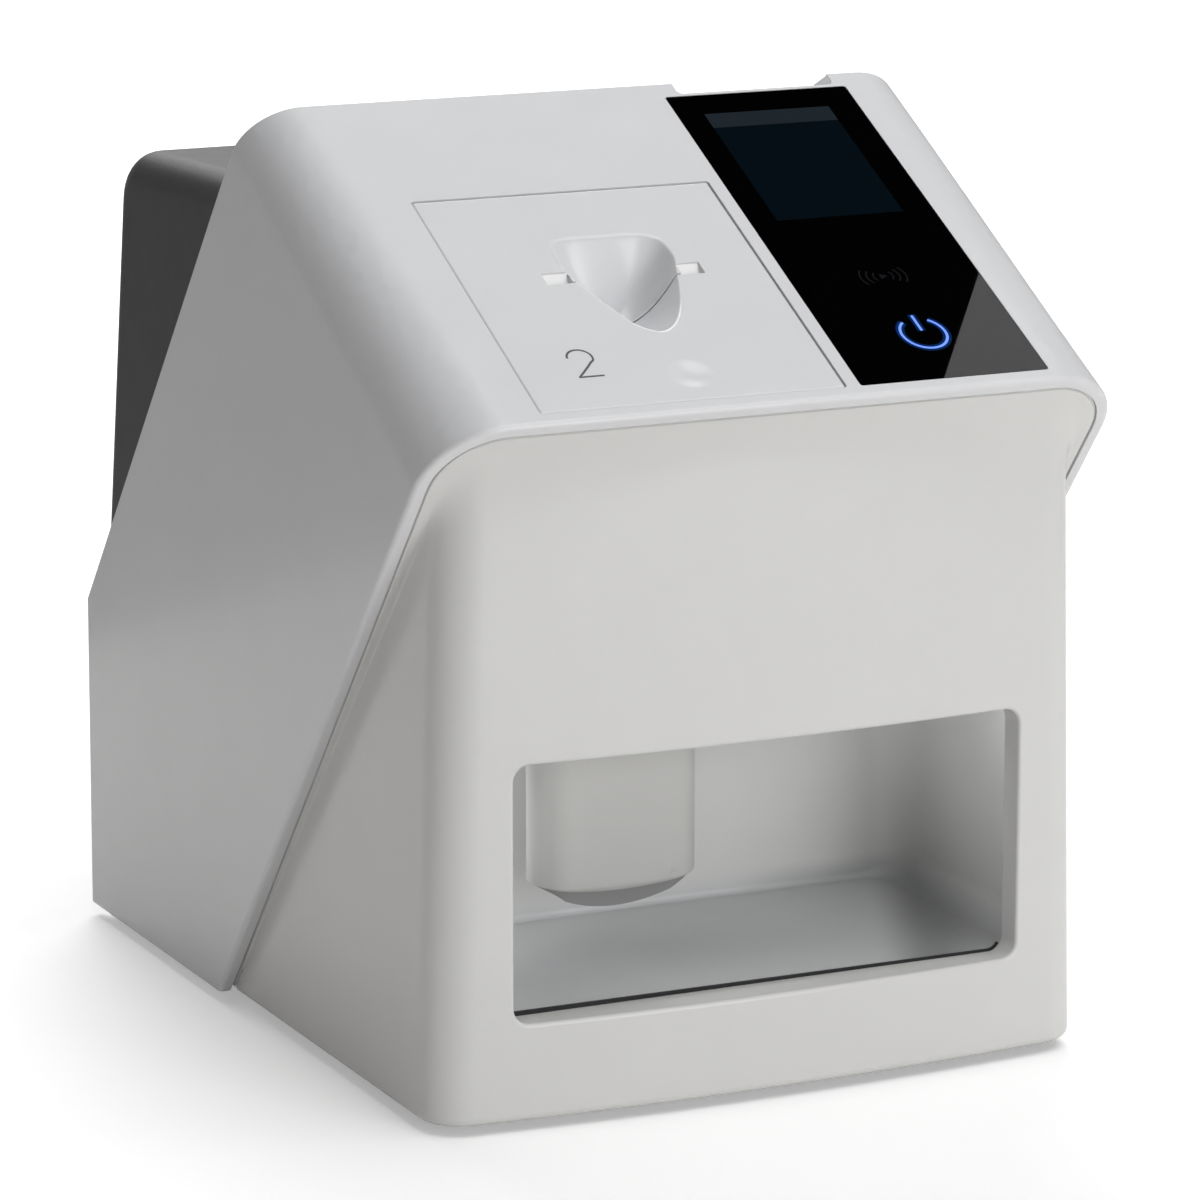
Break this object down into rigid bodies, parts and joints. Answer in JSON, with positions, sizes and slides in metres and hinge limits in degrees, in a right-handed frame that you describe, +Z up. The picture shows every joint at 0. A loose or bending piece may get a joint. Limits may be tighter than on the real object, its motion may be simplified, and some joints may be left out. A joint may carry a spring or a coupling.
{
  "type": "dental imaging plate scanner",
  "caption": "Desktop dental imaging plate scanner: white hood over an output tray, sloping top with plate insert and touch display, belt transport, scan drum, spinning prism and rear cover.",
  "frame": {"origin": "on the table under the middle of the outer box", "axes": "+Z up, the output window and the slope of the top face -Y, the rear cover faces +Y"},
  "size_m": [0.23, 0.2919, 0.2898],
  "materials": {
    "white_shell": "glossy white moulded plastic",
    "white_front": "glossy white moulded plastic",
    "white_insert": "glossy white moulded plastic",
    "white_liner": "satin white moulded plastic",
    "dark_cover": "fine textured dark grey plastic",
    "base_grey": "textured dark plastic",
    "floor_grey": "soft grey mat",
    "rubber": "matte black rubber",
    "steel": "zinc plated",
    "sheet_steel": "zinc plated sheet",
    "alu": "machined",
    "alu_black": "black anodised",
    "motor_black": "black motor case",
    "bush": "sintered bronze",
    "brass": "brass",
    "black_inner": "black moulded plastic",
    "black_glass": "polished black printed cover glass",
    "lcd": "display panel",
    "light_guide": "milky light guide",
    "board_green": "solder mask",
    "prism_glass": "polished glass",
    "mirror": "polished",
    "ribbon": "flat ribbon",
    "button_grey": "grey button"
  },
  "bodies": {
    "housing": {"hood": "white_shell", "front_fascia": "white_front", "rear_cover": "dark_cover", "base_plate": "base_grey", "rubber_feet": "rubber", "base_screws": "steel", "output_chamber": "white_liner", "floor_pad": "floor_grey", "outlet_chute": "white_liner", "insert_cradle": "black_inner", "display_glass": "black_glass", "lcd_module": "lcd", "display_frame": "black_inner", "display_board": "board_green", "rfid_antenna": "board_green", "power_light_guide": "light_guide", "chassis": "sheet_steel", "left_side_frame": "sheet_steel", "right_side_frame": "sheet_steel", "roller_bushes": "bush", "transport_belts": "rubber", "drive_belt": "rubber", "stepper_motor": "motor_black", "motor_bracket": "sheet_steel", "inlet_guide": "black_inner", "lower_drum": "alu_black", "upper_drum": "alu_black", "drum_arms": "alu_black", "spindle_motor": "motor_black", "spindle_bracket": "alu", "laser_module": "brass", "laser_clamp": "alu", "photomultiplier": "black_inner", "pmt_housing": "alu_black", "light_collector": "mirror", "erase_led_bar": "board_green", "light_barriers": "black_inner", "main_board": "board_green", "board_components": "black_inner", "board_standoffs": "brass", "board_screws": "steel", "board_carrier": "sheet_steel", "lan_socket": "steel", "usb_socket": "steel", "dc_jack": "black_inner", "fan_frame": "black_inner", "fan_screws": "steel", "display_ribbon": "ribbon", "deck_screws": "steel"},
    "insert": {"plate_insert": "white_insert"},
    "idler": {"idler_roller": "steel"},
    "drive": {"drive_roller": "steel", "roller_pulley": "alu"},
    "motor": {"motor_shaft": "steel", "motor_pulley": "alu"},
    "prism": {"prism_holder": "alu", "pentaprism": "prism_glass"},
    "fan": {"fan_rotor": "black_inner"},
    "button": {"reset_button": "button_grey"},
    "flap": {"inlet_flap": "black_inner"}
  },
  "joints": [
    {"name": "insert_lift", "type": "slide", "parent": "housing", "child": "insert", "axis": [0, -0.4628, 0.8864], "range_m": [0, 0.012]},
    {"name": "drive_roller_spin", "type": "hinge", "parent": "housing", "child": "drive", "pos_m": [-0.0255, -0.0843, 0.132], "axis": [1, 0, 0], "continuous": true},
    {"name": "idler_roller_spin", "type": "hinge", "parent": "housing", "child": "idler", "pos_m": [-0.0255, -0.0843, 0.203], "axis": [1, 0, 0], "continuous": true},
    {"name": "motor_spin", "type": "hinge", "parent": "housing", "child": "motor", "pos_m": [0.02, -0.03, 0.15], "axis": [1, 0, 0], "continuous": true},
    {"name": "prism_spin", "type": "hinge", "parent": "housing", "child": "prism", "pos_m": [-0.0255, -0.048, 0.16], "axis": [0, 0, 1], "continuous": true},
    {"name": "fan_spin", "type": "hinge", "parent": "housing", "child": "fan", "pos_m": [0.058, 0.1393, 0.092], "axis": [0, 1, 0], "continuous": true},
    {"name": "reset_press", "type": "slide", "parent": "housing", "child": "button", "axis": [0, -1, 0], "range_m": [0, 0.0012], "stiffness_N_per_m": 500, "springref_m": -0.0006},
    {"name": "flap_swing", "type": "hinge", "parent": "housing", "child": "flap", "pos_m": [-0.0255, -0.068, 0.216], "axis": [1, 0, 0], "range_deg": [0, 40], "stiffness_Nm_per_rad": 0.004, "springref_deg": -20.05}
  ],
  "couplings": [
    {"joint": "idler_roller_spin", "follows": "drive_roller_spin", "ratio": 1},
    {"joint": "motor_spin", "follows": "drive_roller_spin", "ratio": 1.6}
  ]
}
